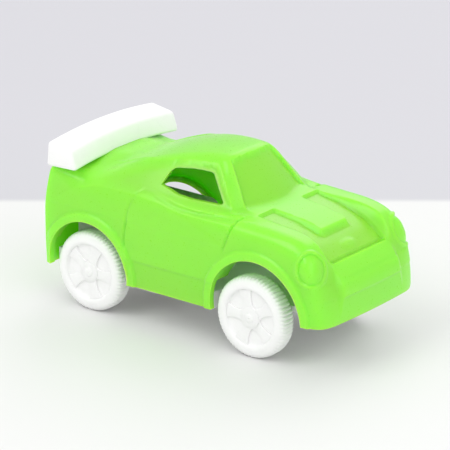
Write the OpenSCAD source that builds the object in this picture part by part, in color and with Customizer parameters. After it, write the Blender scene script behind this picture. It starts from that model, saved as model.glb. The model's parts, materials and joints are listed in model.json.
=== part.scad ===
// Pull back car: moulded body, clip-on rear wing, chassis tray, four one-piece
// wheels on steel axles, and a spring motor on the rear axle.
// X runs forward, Z up, and the floor is at z = 0 under the middle of the car.

/* [Body] */
// Length of the body from tail to nose
body_l = 76.4; // [72:0.1:84]
// Width of the body across the sides
body_w = 35; // [34:0.1:39]
// Height of the roof above the floor
roof_z = 39.5; // [38:0.1:42]
// Height of the lower edge of the sides
sill_z = 8.7; // [8.4:0.1:9.6]
// Height of the waist line under the windows
belt_z = 30.4; // [29:0.1:31.4]
// Thickness of the moulded wall
wall = 1.2; // [0.8:0.1:1.6]
// Depth of the sunk fields beside the bonnet's raised middle
bonnet_step = 0.8; // [0.4:0.1:1.3]
// Half width of the bonnet's raised middle
bulge_hw = 4.9; // [3:0.1:7]
// Depth of the door seams
seam_depth = 0.35; // [0.2:0.05:0.6]
// Width of the raised lip round the wheel arches
lip_w = 2; // [1:0.1:3]
// Height of the raised lip round the wheel arches
lip_h = 0.5; // [0.2:0.1:0.9]
// Gap between the tyre and the edge of the rear arch
rear_arch_gap = 1.9; // [1.2:0.1:2.6]
// Gap between the tyre and the edge of the front arch
front_arch_gap = 2.9; // [1.6:0.1:3.4]
// Height of the side windows
window_h = 5.7; // [4.8:0.1:6]

/* [Wing] */
// How far each end of the wing stands out past the body's side
wing_over = 0.4; // [-0.6:0.1:1]
// Length of the rear wing from front to back
wing_l = 8.4; // [6:0.1:9.5]
// Thickness of the rear wing
wing_t = 5.4; // [3.5:0.1:6]
// Rise of the wing's middle over its ends
wing_arch = 1.3; // [0:0.1:2]
// Radius of the pegs under the wing
peg_r = 1.4; // [1:0.1:1.8]

/* [Wheels] */
// Distance between the front and the rear axle
wheelbase = 44; // [42:0.1:46]
// Diameter of a wheel over its tread
wheel_d = 18; // [17:0.1:18.6]
// Width of a wheel
wheel_w = 4.6; // [3.6:0.1:5]
// How far the wheels' outer faces stand inside the body's sides
wheel_inset = 0.5; // [0.1:0.1:1]
// Number of ribs round the tread
tread_ribs = 62; // [40:1:70]
// Radius of the sunk face of a wheel
rim_r = 6.2; // [5.4:0.1:6.8]
// Number of spokes
spokes = 5; // [4:1:6]
// Radius of a steel axle
axle_r = 1; // [0.8:0.05:1.2]

/* [Chassis] */
// Thickness of the chassis floor
floor_t = 1.2; // [0.9:0.1:1.6]
// Height of the rim round the chassis floor
rim_h = 3.2; // [2:0.1:4]
// Radius of a screw's thread
screw_r = 1.1; // [0.9:0.05:1.3]

/* [Motor] */
// Gear module
gear_m = 0.4; // [0.36:0.01:0.42]
// Teeth of the pinion on the rear axle
pinion_teeth = 12; // [10:1:13]
// Teeth of the clutch gear
clutch_teeth = 14; // [12:1:15]
// Teeth of the reduction gear's large wheel
large_teeth = 22; // [20:1:24]
// Teeth of the reduction gear's small wheel
small_teeth = 10; // [9:1:12]
// Teeth round the spring drum
drum_teeth = 32; // [28:1:33]
// Width of a gear along its axle
gear_w = 2.2; // [1.6:0.1:2.6]
// Radius of the gear pins
pin_r = 0.75; // [0.6:0.05:0.9]
// Radius of the fixed post that the spring winds on
arbor_r = 1.25; // [1:0.05:1.5]
// Thickness of the motor's walls
case_t = 0.9; // [0.7:0.1:1.1]
// Number of coils of the mainspring
spring_coils = 6; // [4:1:8]
// Thickness of the mainspring's strip
spring_t = 0.22; // [0.15:0.01:0.3]

/* [Fits] */
// Radial clearance of a turning shaft in its bore
run_fit = 0.05; // [0.03:0.01:0.08]
// Gap between moulded parts that slip together
slip_fit = 0.15; // [0.1:0.01:0.25]

/* [Hidden] */
$fn = 48;

LIME = [0.55, 1, 0.25];
WHITE = [0.96, 0.96, 0.95];
STEEL = [0.72, 0.73, 0.75];
AMBER = [0.9, 0.88, 0.8];
BRASS = [0.85, 0.7, 0.4];

// ---- Places worked out from the driving sizes ----
nose_x = body_l / 2;
tail_x = -body_l / 2;
half_w = body_w / 2;
wheel_r = wheel_d / 2;
axle_z = wheel_r;
rear_x = -4 - wheelbase / 2;
front_x = -4 + wheelbase / 2;
wheel_out = half_w - wheel_inset;
wing_hs = half_w + wing_over;
wheel_in = wheel_out - wheel_w;
rear_arch = [rear_x + 0.4, axle_z + 0.8];
front_arch = [front_x + 1.9, axle_z + 1.3];
rear_arch_r = wheel_r + rear_arch_gap;
front_arch_r = wheel_r + front_arch_gap;
floor_z = sill_z - 0.4;
front_floor_z = axle_z + axle_r + 0.8;
nose_lift = 1.9;
side_gap = 0.3;

// ---- Blending and interpolation ----
function blend_max(a, b, k) = max(a, b) + pow(max(k - abs(a - b), 0), 2) / (4 * k);
function blend_min(a, b, k) = -blend_max(-a, -b, k);
function clamp01(t) = min(max(t, 0), 1);
function ease(t) = t * t * (3 - 2 * t);
function ramp(from, to, v) = ease(clamp01((v - from) / (to - from)));
function slope_at(line, i) = (line[min(i + 1, len(line) - 1)][1] - line[max(i - 1, 0)][1])
    / (line[min(i + 1, len(line) - 1)][0] - line[max(i - 1, 0)][0]);
function segment_of(line, x, i = 0) = i >= len(line) - 2 || x < line[i + 1][0] ? i
    : segment_of(line, x, i + 1);
function hermite(p, q, m0, m1, t, h) = (2 * t * t * t - 3 * t * t + 1) * p
    + (t * t * t - 2 * t * t + t) * h * m0 + (3 * t * t - 2 * t * t * t) * q
    + (t * t * t - t * t) * h * m1;
// Height of a smooth line through chosen points [x, z]
function line_z(line, x) = let (i = segment_of(line, x), h = line[i + 1][0] - line[i][0])
    hermite(line[i][1], line[i + 1][1], slope_at(line, i), slope_at(line, i + 1),
        clamp01((x - line[i][0]) / h), h);

// ---- Form of the body ----
// Crest of the shoulders and wings, from tail to nose
crest_line = [[tail_x, belt_z + 0.7], [tail_x + 8, belt_z + 1.2], [rear_x + 4, belt_z + 1.1],
    [rear_x + 14, belt_z + 0.3], [0, belt_z - 0.2], [front_x - 6, belt_z - 1],
    [front_x + 1, belt_z - 1.3], [front_x + 7, belt_z - 1.6], [nose_x - 9, belt_z - 2.3],
    [nose_x - 6.5, belt_z - 3.5], [nose_x - 4.5, belt_z - 5.8], [nose_x - 3, belt_z - 9],
    [nose_x, belt_z - 17]];
// Middle of the tail deck, the cowl and the bonnet
middle_line = [[tail_x, belt_z + 2], [tail_x + 8, belt_z + 3], [rear_x + 4, belt_z + 2.6],
    [rear_x + 14, belt_z + 0.6], [0, belt_z - 0.2], [front_x - 6, belt_z - 0.5],
    [front_x - 2, belt_z - 1.1], [front_x + 4, belt_z - 2], [nose_x - 10, belt_z - 3.8],
    [nose_x - 5, belt_z - 6.8], [nose_x - 2.6, belt_z - 9.2], [nose_x - 1, belt_z - 11],
    [nose_x + 2, belt_z - 16]];
crest_y = half_w - 6.1;
bonnet_hw = half_w - 7.9;
roof_x = 4;
roof_bend = 0.0088;
roof_crown = 0.008;
screen_top_x = 6.1;
screen_slope = 1.12;
screen_bow = 0.025;
cabin_foot_y = half_w - 1.9;
cabin_taper = 3;
cabin_lean = 0.72;
bumper_z = sill_z + 10.4;

function side_y(x, z) = half_w - 0.3 * ramp(sill_z + 6.4, sill_z - 1, z) - 0.9 * ramp(20, belt_z + 0.6, z)
    - 0.7 * pow(max(x - nose_x + 14, 0) / 14, 2) - 0.1 * pow(max(tail_x + 9 - x, 0) / 9, 2);
function top_z(x, y) = let (inner = ramp(crest_y, bonnet_hw, y))
    line_z(crest_line, x) * (1 - inner) + line_z(middle_line, x) * inner;
function nose_face(y, z) = nose_x - 0.0024 * y * y - 0.8 * ramp(bumper_z, bumper_z + 0.6, z)
    - 0.3 * ramp(bumper_z - 2.7, bumper_z - 3.1, z) - 0.3 * ramp(sill_z + 3, sill_z + 1, z);
function tail_face(y, z) = tail_x + 0.0006 * y * y + 0.015 * pow(max(z - 22, 0), 2);

// Distance-like measure: below zero inside the lower body
function lower_body(x, y, z) = let (
    side = y - side_y(x, z),
    fall = clamp01((x - nose_x + 14) / 11) * 1.5,
    top = (z - top_z(x, y)) / sqrt(1 + fall * fall),
    shoulder = 3.4 + 2.6 * ramp(-8, -22, x) - 4.4 * ramp(rear_x - 1, tail_x + 1, x),
    shoulders = blend_max(side, top, shoulder),
    corner = 1.2 + 2.5 * ramp(half_w - 8.5, half_w - 2.5, y))
    blend_max(blend_max(shoulders, x - nose_face(y, z), corner), tail_face(y, z) - x, 0.8);

// The same for the cabin on top of it
function cabin(x, y, z) = let (
    along = 2 * roof_bend * (x - roof_x),
    roof = (z - roof_z + roof_bend * pow(x - roof_x, 2) + roof_crown * y * y) / sqrt(1 + along * along),
    screen = ((x - screen_top_x + screen_bow * y * y) * screen_slope + z - roof_z + 0.4)
        / sqrt(1 + screen_slope * screen_slope),
    foot = cabin_foot_y - cabin_taper * pow(max(x + 15, 0) / 23, 2),
    side = (y - foot + cabin_lean * (z - belt_z - 0.6)) / sqrt(1 + cabin_lean * cabin_lean))
    max(blend_max(blend_max(roof, side, 2.2), screen, 1.8), y - side_y(x, z) + 0.4,
        tail_face(y, z) - x, 24 - z);

function body_form(x, y, z) = blend_min(lower_body(x, abs(y), z), cabin(x, abs(y), z), 1);

// ---- Skin over the form ----
// Points of a box are walked along rays from a smaller box inside it until they meet the form
box_z = 29;
ray_core = 8;
function box_core(b) = [
    min(max(b[0], tail_x + ray_core), nose_x - ray_core),
    min(max(b[1], ray_core - half_w), half_w - ray_core),
    min(b[2], box_z - ray_core)];
function walk(s, d, level, lo, hi, n) = n == 0 ? s + d * (lo + hi) / 2
    : let (m = (lo + hi) / 2, p = s + d * m)
        body_form(p[0], p[1], p[2]) < level ? walk(s, d, level, m, hi, n - 1)
        : walk(s, d, level, lo, m, n - 1);
function skin_point(b, level) = let (s = box_core(b), d = b - s)
    walk(s, d / norm(d), level, 0, 22, 13);
// A loop round the box, drawn in by q times the half width
function loop_point(t, nx, ny, q) = let (lx = nose_x - half_w * (1 - q), ly = half_w * q)
    t < nx ? [-lx + 2 * lx * t / nx, -ly]
    : t < nx + ny ? [lx, -ly + 2 * ly * (t - nx) / ny]
    : t < 2 * nx + ny ? [lx - 2 * lx * (t - nx - ny) / nx, ly]
    : [-lx, ly - 2 * ly * (t - 2 * nx - ny) / ny];

// Points of the skin, ring by ring: up the sides, then inwards over the top.
// A grid holds the steps along X, along Y, up the sides and over the top.
function skin_points(level, low_z, grid) = let (nx = grid[0], ny = grid[1], n = 2 * (nx + ny)) concat(
    [for (r = [0 : grid[2] - 1], t = [0 : n - 1])
        let (p = loop_point(t, nx, ny, 1), z = low_z + (box_z - low_z) * r / grid[2])
            skin_point([p[0], p[1], z], level)],
    [for (r = [0 : grid[3]], t = [0 : n - 1])
        let (q = max(1 - r / grid[3], 0.015), p = loop_point(t, nx, ny, q))
            skin_point([p[0], p[1], box_z], level)]);

module skin(points, grid) {
    nx = grid[0];
    ny = grid[1];
    n = 2 * (nx + ny);
    last = (grid[2] + grid[3]) * n;
    walls = [for (r = [0 : grid[2] + grid[3] - 1], t = [0 : n - 1])
        let (a = r * n + t, b = r * n + (t + 1) % n)
            each [[a, a + n, b], [b, a + n, b + n]]];
    ridge = [for (t = [0 : nx - 1])
        let (a = last + t, b = last + t + 1, c = last + 2 * nx + ny - t, d = last + 2 * nx + ny - t - 1)
            each [[a, c, b], [b, c, d]]];
    ends = [[for (t = [nx + ny : -1 : nx]) last + t], [for (t = [n : -1 : 2 * nx + ny]) last + t % n]];
    base = [for (t = [0 : n - 1]) t];
    polyhedron(points, concat(walls, ridge, ends, [base]), 10);
}

outer_grid = [34, 14, 7, 9];
inner_grid = [22, 8, 5, 6];
function outer_points() = skin_points(0, sill_z, outer_grid);
// Needs $outer, the outer points, which are worked out once in each sub-part that uses them
module outer_skin() {
    skin($outer, outer_grid);
}

// Shape of what is cut: the children where they reach deeper than the shifted outer skin
module engrave(shift) {
    difference() {
        children();
        translate(shift) outer_skin();
    }
}

function arc_points(c, r, from, to, n) = [for (i = [0 : n])
    let (a = from + (to - from) * i / n) c + r * [cos(a), sin(a)]];

// Side window seen from the side
window_z = belt_z + 0.1;
module window_outline() {
    rear = -7.9;
    front = 7.7;
    top = window_z + window_h;
    polygon(concat(
        [[rear, window_z + 1.7]],
        arc_points([rear + 2.8, top - 2.6], 2.2, 165, 95, 6),
        [[-2, top - 0.05], [0, top]],
        arc_points([front - 5.4, top - 1.5], 1.4, 80, 35, 4),
        arc_points([front - 0.6, window_z + 0.4], 0.4, 35, -90, 4),
        [[0, window_z + 0.2], [-3.4, window_z + 0.55], [-5.6, window_z + 1.15]]));
}

module across(from, to) {
    translate([0, to, 0]) rotate([90, 0, 0]) linear_extrude(to - from) children();
}

module arch_cutter(c, r) {
    for (s = [-1, 1]) translate([c[0], s * (wheel_in + wheel_out + 4) / 2, c[1]])
        rotate([90, 0, 0]) cylinder(r = r, h = wheel_w + 5.4, center = true);
}

module arch_lip(c, r) {
    intersection() {
        across(-half_w - 2, half_w + 2) difference() {
            translate(c) circle(r + lip_w);
            translate(c) circle(r - 0.1);
        }
        for (s = [-1, 1]) translate([0, s * lip_h, 0]) outer_skin();
        translate([-nose_x, -half_w - 1, sill_z]) cube([body_l, body_w + 2, box_z]);
    }
}

// Turned-in edge above a wheel: a strip of the arch that reaches inwards to the given width
module arch_return(c, r, reach_in) {
    for (s = [-1, 1]) intersection() {
        translate([c[0], s * (reach_in + half_w - wall) / 2, c[1]]) rotate([90, 0, 0])
            cylinder(r = r + wall, h = half_w - reach_in - wall / 2, center = true);
        translate([c[0] - 20, -half_w, c[1] + 5]) cube([40, body_w, 20]);
        translate([0, -s * 0.3, 0]) outer_skin();
    }
}

module seam(points) {
    for (i = [0 : len(points) - 2]) hull() for (p = [points[i], points[i + 1]])
        translate([p[0], 0, p[1]]) rotate([90, 0, 0]) cylinder(r = 0.28, h = body_w + 2, center = true, $fn = 8);
}

rear_seam = [[-12.6, belt_z], [-13.4, 26], [-14.2, 22], [-14.9, 18.4]];
front_seam = [[front_x - 4.2, belt_z - 1], [front_x - 5.8, 25.4], [front_x - 7, 22]];
sill_seam = [[-14.2, sill_z + 6], [front_x - 9.6, sill_z + 6.2]];

module door_seams() {
    for (s = [-1, 1]) intersection() {
        engrave([0, -s * seam_depth, 0]) {
            seam(rear_seam);
            seam(front_seam);
            seam(sill_seam);
        }
        translate([-nose_x, s > 0 ? 12 : -half_w - 2, sill_z]) cube([body_l, half_w - 10, box_z]);
    }
}

module bonnet_fields() {
    rear = front_x - 2;
    front = nose_x - 5;
    inner_front = front - 4.6;
    engrave([0, 0, -bonnet_step]) translate([0, 0, 15]) linear_extrude(20) difference() {
        polygon([[rear, -bonnet_hw - 0.3], [front, 0.4 - bonnet_hw], [front, bonnet_hw - 0.4],
            [rear, bonnet_hw + 0.3]]);
        polygon([[rear - 1, -bulge_hw], [inner_front, -bulge_hw], [inner_front, bulge_hw],
            [rear - 1, bulge_hw]]);
    }
}

lamp_place = [nose_x - 5.7, half_w - 3.4, belt_z - 7.9];
module head_lamps() {
    for (s = [0, 1]) mirror([0, s, 0]) translate(lamp_place) rotate([0, 0, 47]) rotate([0, 64, 0]) {
        difference() {
            scale([4.1, 3.2, 0.9]) cylinder(r1 = 1.06, r2 = 1, h = 1, $fn = 28);
            translate([0, 0, 0.4]) scale([3.4, 2.5, 1]) cylinder(r = 1, h = 1, $fn = 28);
        }
        scale([3.1, 2.2, 0.9]) sphere(r = 1, $fn = 18);
    }
}

boss_x = front_x + 6.5;
boss_r = 2.6;
boss_low = front_floor_z + floor_t + slip_fit;
boss_top = line_z(middle_line, boss_x + boss_r) - 0.3;
peg_x = tail_x + 6.2;
peg_y = wing_hs - 7;

module body_shell() {
    $outer = outer_points();
    color(LIME) difference() {
        union() {
            difference() {
                union() {
                    outer_skin();
                    arch_lip(rear_arch, rear_arch_r);
                    arch_lip(front_arch, front_arch_r);
                    head_lamps();
                }
                skin(skin_points(-wall, sill_z - 2, inner_grid), inner_grid);
            }
            arch_return(rear_arch, rear_arch_r, wheel_out - 1.8);
            arch_return(front_arch, front_arch_r, wheel_in + 0.3);
            translate([boss_x, 0, boss_low]) cylinder(r = boss_r, h = boss_top - boss_low);
        }
        across(-half_w - 1, half_w + 1) window_outline();
        arch_cutter(rear_arch, rear_arch_r);
        arch_cutter(front_arch, front_arch_r);
        door_seams();
        bonnet_fields();
        for (s = [-1, 1]) translate([peg_x, s * peg_y, box_z - 6]) cylinder(r = peg_r + slip_fit, h = 12);
        translate([boss_x, 0, 0]) cylinder(r = screw_r, h = front_floor_z + 9);
        translate([nose_x - 8.5, -half_w - 1, 0]) cube([10, body_w + 2, sill_z + nose_lift]);
        for (x = catch_x, s = [-1, 1]) translate([x - catch_l / 2 - slip_fit, 0, floor_z + 1.9])
            mirror([0, s > 0 ? 0 : 1, 0]) cube([catch_l + 2 * slip_fit, inner_hw + catch_out + slip_fit, 1.2]);
    }
}

// ---- Rear wing ----
wing_tail_x = tail_x + 1.4;
wing_foot_z = belt_z + 0.7;
function wing_point(i, y) = let (
    lift = wing_arch * (1 - pow(y / wing_hs, 2)),
    c = [[wing_tail_x, 0.2], [wing_tail_x + 0.5, wing_t + 0.5], [wing_tail_x + wing_l - 1.5, wing_t - 0.5],
        [wing_tail_x + wing_l, 0.5]][i])
    [c[0], y, wing_foot_z + c[1] + lift];

module wing_slice(y, r) {
    for (i = [0 : 3]) translate(wing_point(i, y) + [i < 2 ? r : -r, 0, i == 0 || i == 3 ? r : -r])
        sphere(r = r, $fn = 16);
}

module rear_wing() {
    $outer = outer_points();
    cuts = 8;
    end_r = 0.7;
    reach = wing_hs - end_r;
    color(WHITE) difference() {
        union() {
            for (k = [0 : cuts - 1]) hull() {
                wing_slice(-reach + 2 * reach * k / cuts, end_r);
                wing_slice(-reach + 2 * reach * (k + 1) / cuts, end_r);
            }
            for (s = [-1, 1]) translate([peg_x, s * peg_y, box_z - 0.6])
                cylinder(r = peg_r, h = wing_foot_z - box_z + 2, $fn = 24);
        }
        translate([0, 0, 0.03]) outer_deck();
    }
}

// The tail deck that the wing is seated on, without its peg holes
module outer_deck() {
    difference() {
        outer_skin();
        for (s = [-1, 1]) translate([peg_x, s * peg_y, box_z - 6]) cylinder(r = peg_r + slip_fit, h = 12);
    }
}

// ---- Wheels and axles ----
module tread_outline() {
    step = 360 / tread_ribs;
    polygon([for (k = [0 : tread_ribs - 1]) each [
        (wheel_r - 0.35) * [cos(step * k), sin(step * k)],
        (wheel_r - 0.35) * [cos(step * (k + 0.36)), sin(step * (k + 0.36))],
        wheel_r * [cos(step * (k + 0.5)), sin(step * (k + 0.5))],
        wheel_r * [cos(step * (k + 0.86)), sin(step * (k + 0.86))]]]);
}

// A wheel with its outer face up, standing on z = 0 with its axle along Z
module wheel() {
    shoulder = 0.9;
    hub_r = 2.3;
    dish = 1;
    color(WHITE) difference() {
        union() {
            translate([0, 0, shoulder]) linear_extrude(wheel_w - 2 * shoulder) tread_outline();
            rotate_extrude() polygon([[0, 0], [wheel_r - 1.3, 0], [wheel_r - 0.4, shoulder],
                [wheel_r - 0.4, wheel_w - shoulder], [wheel_r - 1, wheel_w - 0.25],
                [wheel_r - 1.8, wheel_w], [rim_r + 0.2, wheel_w], [rim_r, wheel_w - dish], [0, wheel_w - dish]]);
            translate([0, 0, wheel_w - dish - 0.1]) {
                cylinder(r = hub_r, h = 0.7);
                cylinder(r = 1, h = 0.95);
                for (k = [0 : spokes - 1]) rotate(90 + 360 * k / spokes) {
                    linear_extrude(0.6) polygon([[hub_r - 0.6, -0.9], [rim_r - 1, -0.65], [rim_r + 0.1, -1.2],
                        [rim_r + 0.1, 1.2], [rim_r - 1, 0.65], [hub_r - 0.6, 0.9]]);
                    rotate(180 / spokes) translate([1.65, 0, 0]) cylinder(r = 0.3, h = 0.9);
                }
            }
        }
        translate([0, 0, -0.1]) cylinder(r = axle_r, h = wheel_w - dish - 0.5);
        translate([0, 0, -0.1]) difference() {
            cylinder(r = rim_r, h = 1.3);
            cylinder(r = 2.4, h = 1.3);
        }
    }
}

axle_half = wheel_out - 1.7;
module axle(x) {
    color(STEEL) translate([x, 0, axle_z]) rotate([90, 0, 0]) cylinder(r = axle_r, h = 2 * axle_half, center = true);
}

module front_axle() { axle(front_x); }
module rear_axle() { axle(rear_x); }

module left_wheel(x) {
    translate([x, wheel_in, axle_z]) rotate([-90, 0, 0]) rotate(90 / tread_ribs) wheel();
}

module right_wheel(x) {
    translate([x, -wheel_in, axle_z]) rotate([90, 0, 0]) rotate(90 / tread_ribs) wheel();
}

module front_left_wheel() { left_wheel(front_x); }
module front_right_wheel() { right_wheel(front_x); }
module rear_left_wheel() { left_wheel(rear_x); }
module rear_right_wheel() { right_wheel(rear_x); }

// ---- Motor train ----
function pitch_r(teeth) = gear_m * teeth / 2;
function mesh_gap(a, b) = pitch_r(a) + pitch_r(b);
pinion_at = [rear_x, axle_z];
drum_at = [rear_x + 7.5, axle_z + 5.6];
drum_angle = 160;
reduction_at = drum_at + mesh_gap(small_teeth, drum_teeth) * [cos(drum_angle), sin(drum_angle)];
span = norm(reduction_at - pinion_at);
to_pinion = mesh_gap(pinion_teeth, clutch_teeth);
to_large = mesh_gap(clutch_teeth, large_teeth);
along = (to_pinion * to_pinion - to_large * to_large + span * span) / (2 * span);
unit = (reduction_at - pinion_at) / span;
clutch_at = pinion_at + along * unit
    + sqrt(max(to_pinion * to_pinion - along * along, 0.01)) * [-unit[1], unit[0]];

function angle_of(v) = atan2(v[1], v[0]);
// Turn of a gear that meshes with another one, whose tooth points at turn
function meshed(turn, teeth, from, next_teeth, to) = let (line = angle_of(to - from))
    line + 180 + 180 / next_teeth - (turn - line) * teeth / next_teeth;
pinion_turn = 0;
clutch_turn = meshed(pinion_turn, pinion_teeth, pinion_at, clutch_teeth, clutch_at);
reduction_turn = meshed(clutch_turn, clutch_teeth, clutch_at, large_teeth, reduction_at);
drum_turn = meshed(reduction_turn, small_teeth, reduction_at, drum_teeth, drum_at);

// Involute gear outline, with a tooth pointing along +X
pressure = 25;
tip_m = 0.8;
root_m = 1.05;
backlash = 0.05;
function involute_at(base, r) = let (a = acos(base / r)) tan(a) * 180 / PI - a;
function tooth_half(teeth, r) = let (base = pitch_r(teeth) * cos(pressure))
    (PI * gear_m / 2 - backlash) / (2 * pitch_r(teeth)) * 180 / PI
    + involute_at(base, pitch_r(teeth)) - involute_at(base, max(r, base));
module gear_outline(teeth) {
    base = pitch_r(teeth) * cos(pressure);
    root = pitch_r(teeth) - root_m * gear_m;
    tip = pitch_r(teeth) + tip_m * gear_m;
    radii = [root, for (k = [0 : 4]) max(base, root + 0.02) + (tip - max(base, root + 0.02)) * k / 4];
    polygon([for (k = [0 : teeth - 1]) each concat(
        [for (r = radii) let (a = 360 * k / teeth - tooth_half(teeth, r)) r * [cos(a), sin(a)]],
        [for (i = [len(radii) - 1 : -1 : 0]) let (r = radii[i], a = 360 * k / teeth + tooth_half(teeth, r))
            r * [cos(a), sin(a)]])]);
}

case_out = wheel_in - 2.6;
case_in = case_out - case_t;
// Layers across the car: spring side, small gears, large gears
large_y = case_in - 1.2 - gear_w;
small_y = large_y - 0.5 - gear_w;

// Puts a shape drawn in X and Z at a place beside the motor's left cover, facing inwards
module at_side(at, y, turn = 0) {
    translate([at[0], -y, at[1]]) rotate([90, 0, 0]) rotate(turn) children();
}

module axle_pinion() {
    color(BRASS) at_side(pinion_at, large_y, pinion_turn) linear_extrude(gear_w) difference() {
        gear_outline(pinion_teeth);
        circle(axle_r);
    }
}

module clutch_gear() {
    color(WHITE) at_side(clutch_at, large_y, clutch_turn) {
        linear_extrude(gear_w) difference() {
            gear_outline(clutch_teeth);
            circle(pin_r + run_fit);
        }
    }
}

module clutch_pin() {
    color(STEEL) at_side(clutch_at, -case_in - case_t / 2) cylinder(r = pin_r, h = 2 * case_in + case_t);
}

module reduction_gear() {
    color(WHITE) at_side(reduction_at, 0, reduction_turn) difference() {
        union() {
            translate([0, 0, large_y]) linear_extrude(gear_w) gear_outline(large_teeth);
            translate([0, 0, small_y]) linear_extrude(large_y - small_y + 0.1) gear_outline(small_teeth);
        }
        translate([0, 0, small_y - 1]) cylinder(r = pin_r + run_fit, h = 9);
    }
}

module reduction_pin() {
    color(STEEL) at_side(reduction_at, -case_in - case_t / 2) cylinder(r = pin_r, h = 2 * case_in + case_t);
}

drum_r = pitch_r(drum_teeth) - 0.6;
drum_wall = 0.6;
drum_depth = 11;
lid_t = 0.8;
module spring_drum() {
    color(WHITE) at_side(drum_at, 0, drum_turn) difference() {
        union() {
            translate([0, 0, small_y]) linear_extrude(gear_w) gear_outline(drum_teeth);
            translate([0, 0, small_y - drum_depth]) cylinder(r = drum_r, h = drum_depth + 0.1);
        }
        translate([0, 0, small_y - drum_depth - 1]) cylinder(r = drum_r - drum_wall, h = drum_depth + 1.4);
        translate([0, 0, small_y - 1]) cylinder(r = arbor_r + run_fit, h = gear_w + 2);
    }
}

module drum_lid() {
    color(WHITE) at_side(drum_at, small_y - drum_depth) difference() {
        cylinder(r = drum_r - drum_wall, h = lid_t);
        translate([0, 0, -1]) cylinder(r = arbor_r + run_fit, h = lid_t + 2);
    }
}

module drum_arbor() {
    color(STEEL) at_side(drum_at, -case_in - case_t / 2) cylinder(r = arbor_r, h = 2 * case_in + case_t);
}

// One strip wound from the post out to the drum's wall
function coil_r(t) = arbor_r + spring_t / 2 + (drum_r - drum_wall - arbor_r - spring_t - slip_fit) * t;
module mainspring() {
    steps = spring_coils * 24;
    strip_w = drum_depth - lid_t - 1.2;
    color(STEEL) at_side(drum_at, small_y - drum_depth + lid_t + 0.6)
        linear_extrude(strip_w) polygon(concat(
            [for (i = [0 : steps]) let (a = 15 * i, r = coil_r(i / steps) + spring_t / 2) r * [cos(a), sin(a)]],
            [for (i = [steps : -1 : 0]) let (a = 15 * i, r = coil_r(i / steps) - spring_t / 2)
                r * [cos(a), sin(a)]]));
}

// ---- Motor housing ----
case_low = axle_z - 4;
case_high = reduction_at[1] + pitch_r(large_teeth) + 1.6;
spring_side_high = drum_at[1] + drum_r + 0.3 + case_t;
case_rear = clutch_at[0] - pitch_r(clutch_teeth) - 1.4;
case_front = drum_at[0] + pitch_r(drum_teeth) + 1.4;
corner_r = 2.4;
step_y = case_t - small_y + 0.4;
module case_outline(inset, high = case_high) {
    x0 = case_rear + inset;
    x1 = case_front - inset;
    z0 = case_low + inset;
    z1 = high - inset;
    r = corner_r - inset;
    polygon(concat(
        arc_points([x1 - r, z1 - r], r, 0, 90, 6), arc_points([x0 + r, z1 - r], r, 90, 180, 6),
        arc_points([x0 + r, z0 + r], r, 180, 270, 6), arc_points([x1 - r, z0 + r], r, 270, 360, 6)));
}

module shaft_holes() {
    for (s = [[pinion_at, axle_r + run_fit], [clutch_at, pin_r], [reduction_at, pin_r], [drum_at, arbor_r]])
        translate([s[0][0], 0, s[0][1]]) rotate([90, 0, 0]) cylinder(r = s[1], h = 40, center = true);
}

ear_w = 6;
ear_t = 1.2;
head_r = screw_r * 1.9;
head_h = 1.2;
// Pad on the chassis floor, as deep as the screw head sunk under it
pad_top = floor_z + floor_t + head_h;
ear_top = pad_top + ear_t;
screw_x = case_front + head_r + 1;
ear_end = screw_x + screw_r + 1.2;

module motor_case() {
    color(AMBER) difference() {
        union() {
            across(-case_in, step_y) case_outline(0);
            across(step_y - 1, case_out) case_outline(0, spring_side_high);
            translate([case_front - 0.5, -ear_w / 2, pad_top]) cube([ear_end - case_front + 0.5, ear_w, ear_t]);
        }
        across(-case_in - 1, step_y - case_t) case_outline(case_t);
        across(-case_in - 1, case_in) case_outline(case_t, spring_side_high);
        shaft_holes();
        translate([screw_x, 0, 0]) cylinder(r = screw_r, h = 30);
    }
}

module motor_cover() {
    color(AMBER) difference() {
        across(-case_out, -case_in) case_outline(0);
        shaft_holes();
    }
}

// A screw with its head down at z = 0 and its thread up
module screw(len) {
    color(STEEL) difference() {
        union() {
            cylinder(r = head_r, h = head_h);
            cylinder(r = screw_r, h = len);
        }
        for (a = [0, 90]) rotate(a) translate([-head_r * 0.6, -0.25, -0.1]) cube([head_r * 1.2, 0.5, 0.7]);
    }
}

module motor_screws() {
    translate([screw_x, 0, floor_z]) screw(ear_top - floor_z + 1);
}

// ---- Chassis ----
inner_hw = half_w - wall - side_gap - 0.35;
narrow_hw = wheel_in - 0.8;
mid_rear = rear_arch[0] + rear_arch_r + 0.6;
mid_front = front_arch[0] - front_arch_r - 0.4;
nose_rear = front_arch[0] + front_arch_r + 0.2;
block_w = 2;
catch_x = [mid_rear + 4, mid_front - 4];
catch_l = 3;
catch_out = 0.6;

module tray(x0, x1, hw, z) {
    translate([x0, -hw, z]) cube([x1 - x0, 2 * hw, floor_t]);
}

module rim_wall(x0, x1, hw, z) {
    for (s = [-1, 1]) translate([x0, s > 0 ? hw - floor_t : -hw, z]) cube([x1 - x0, floor_t, rim_h]);
}

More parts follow.
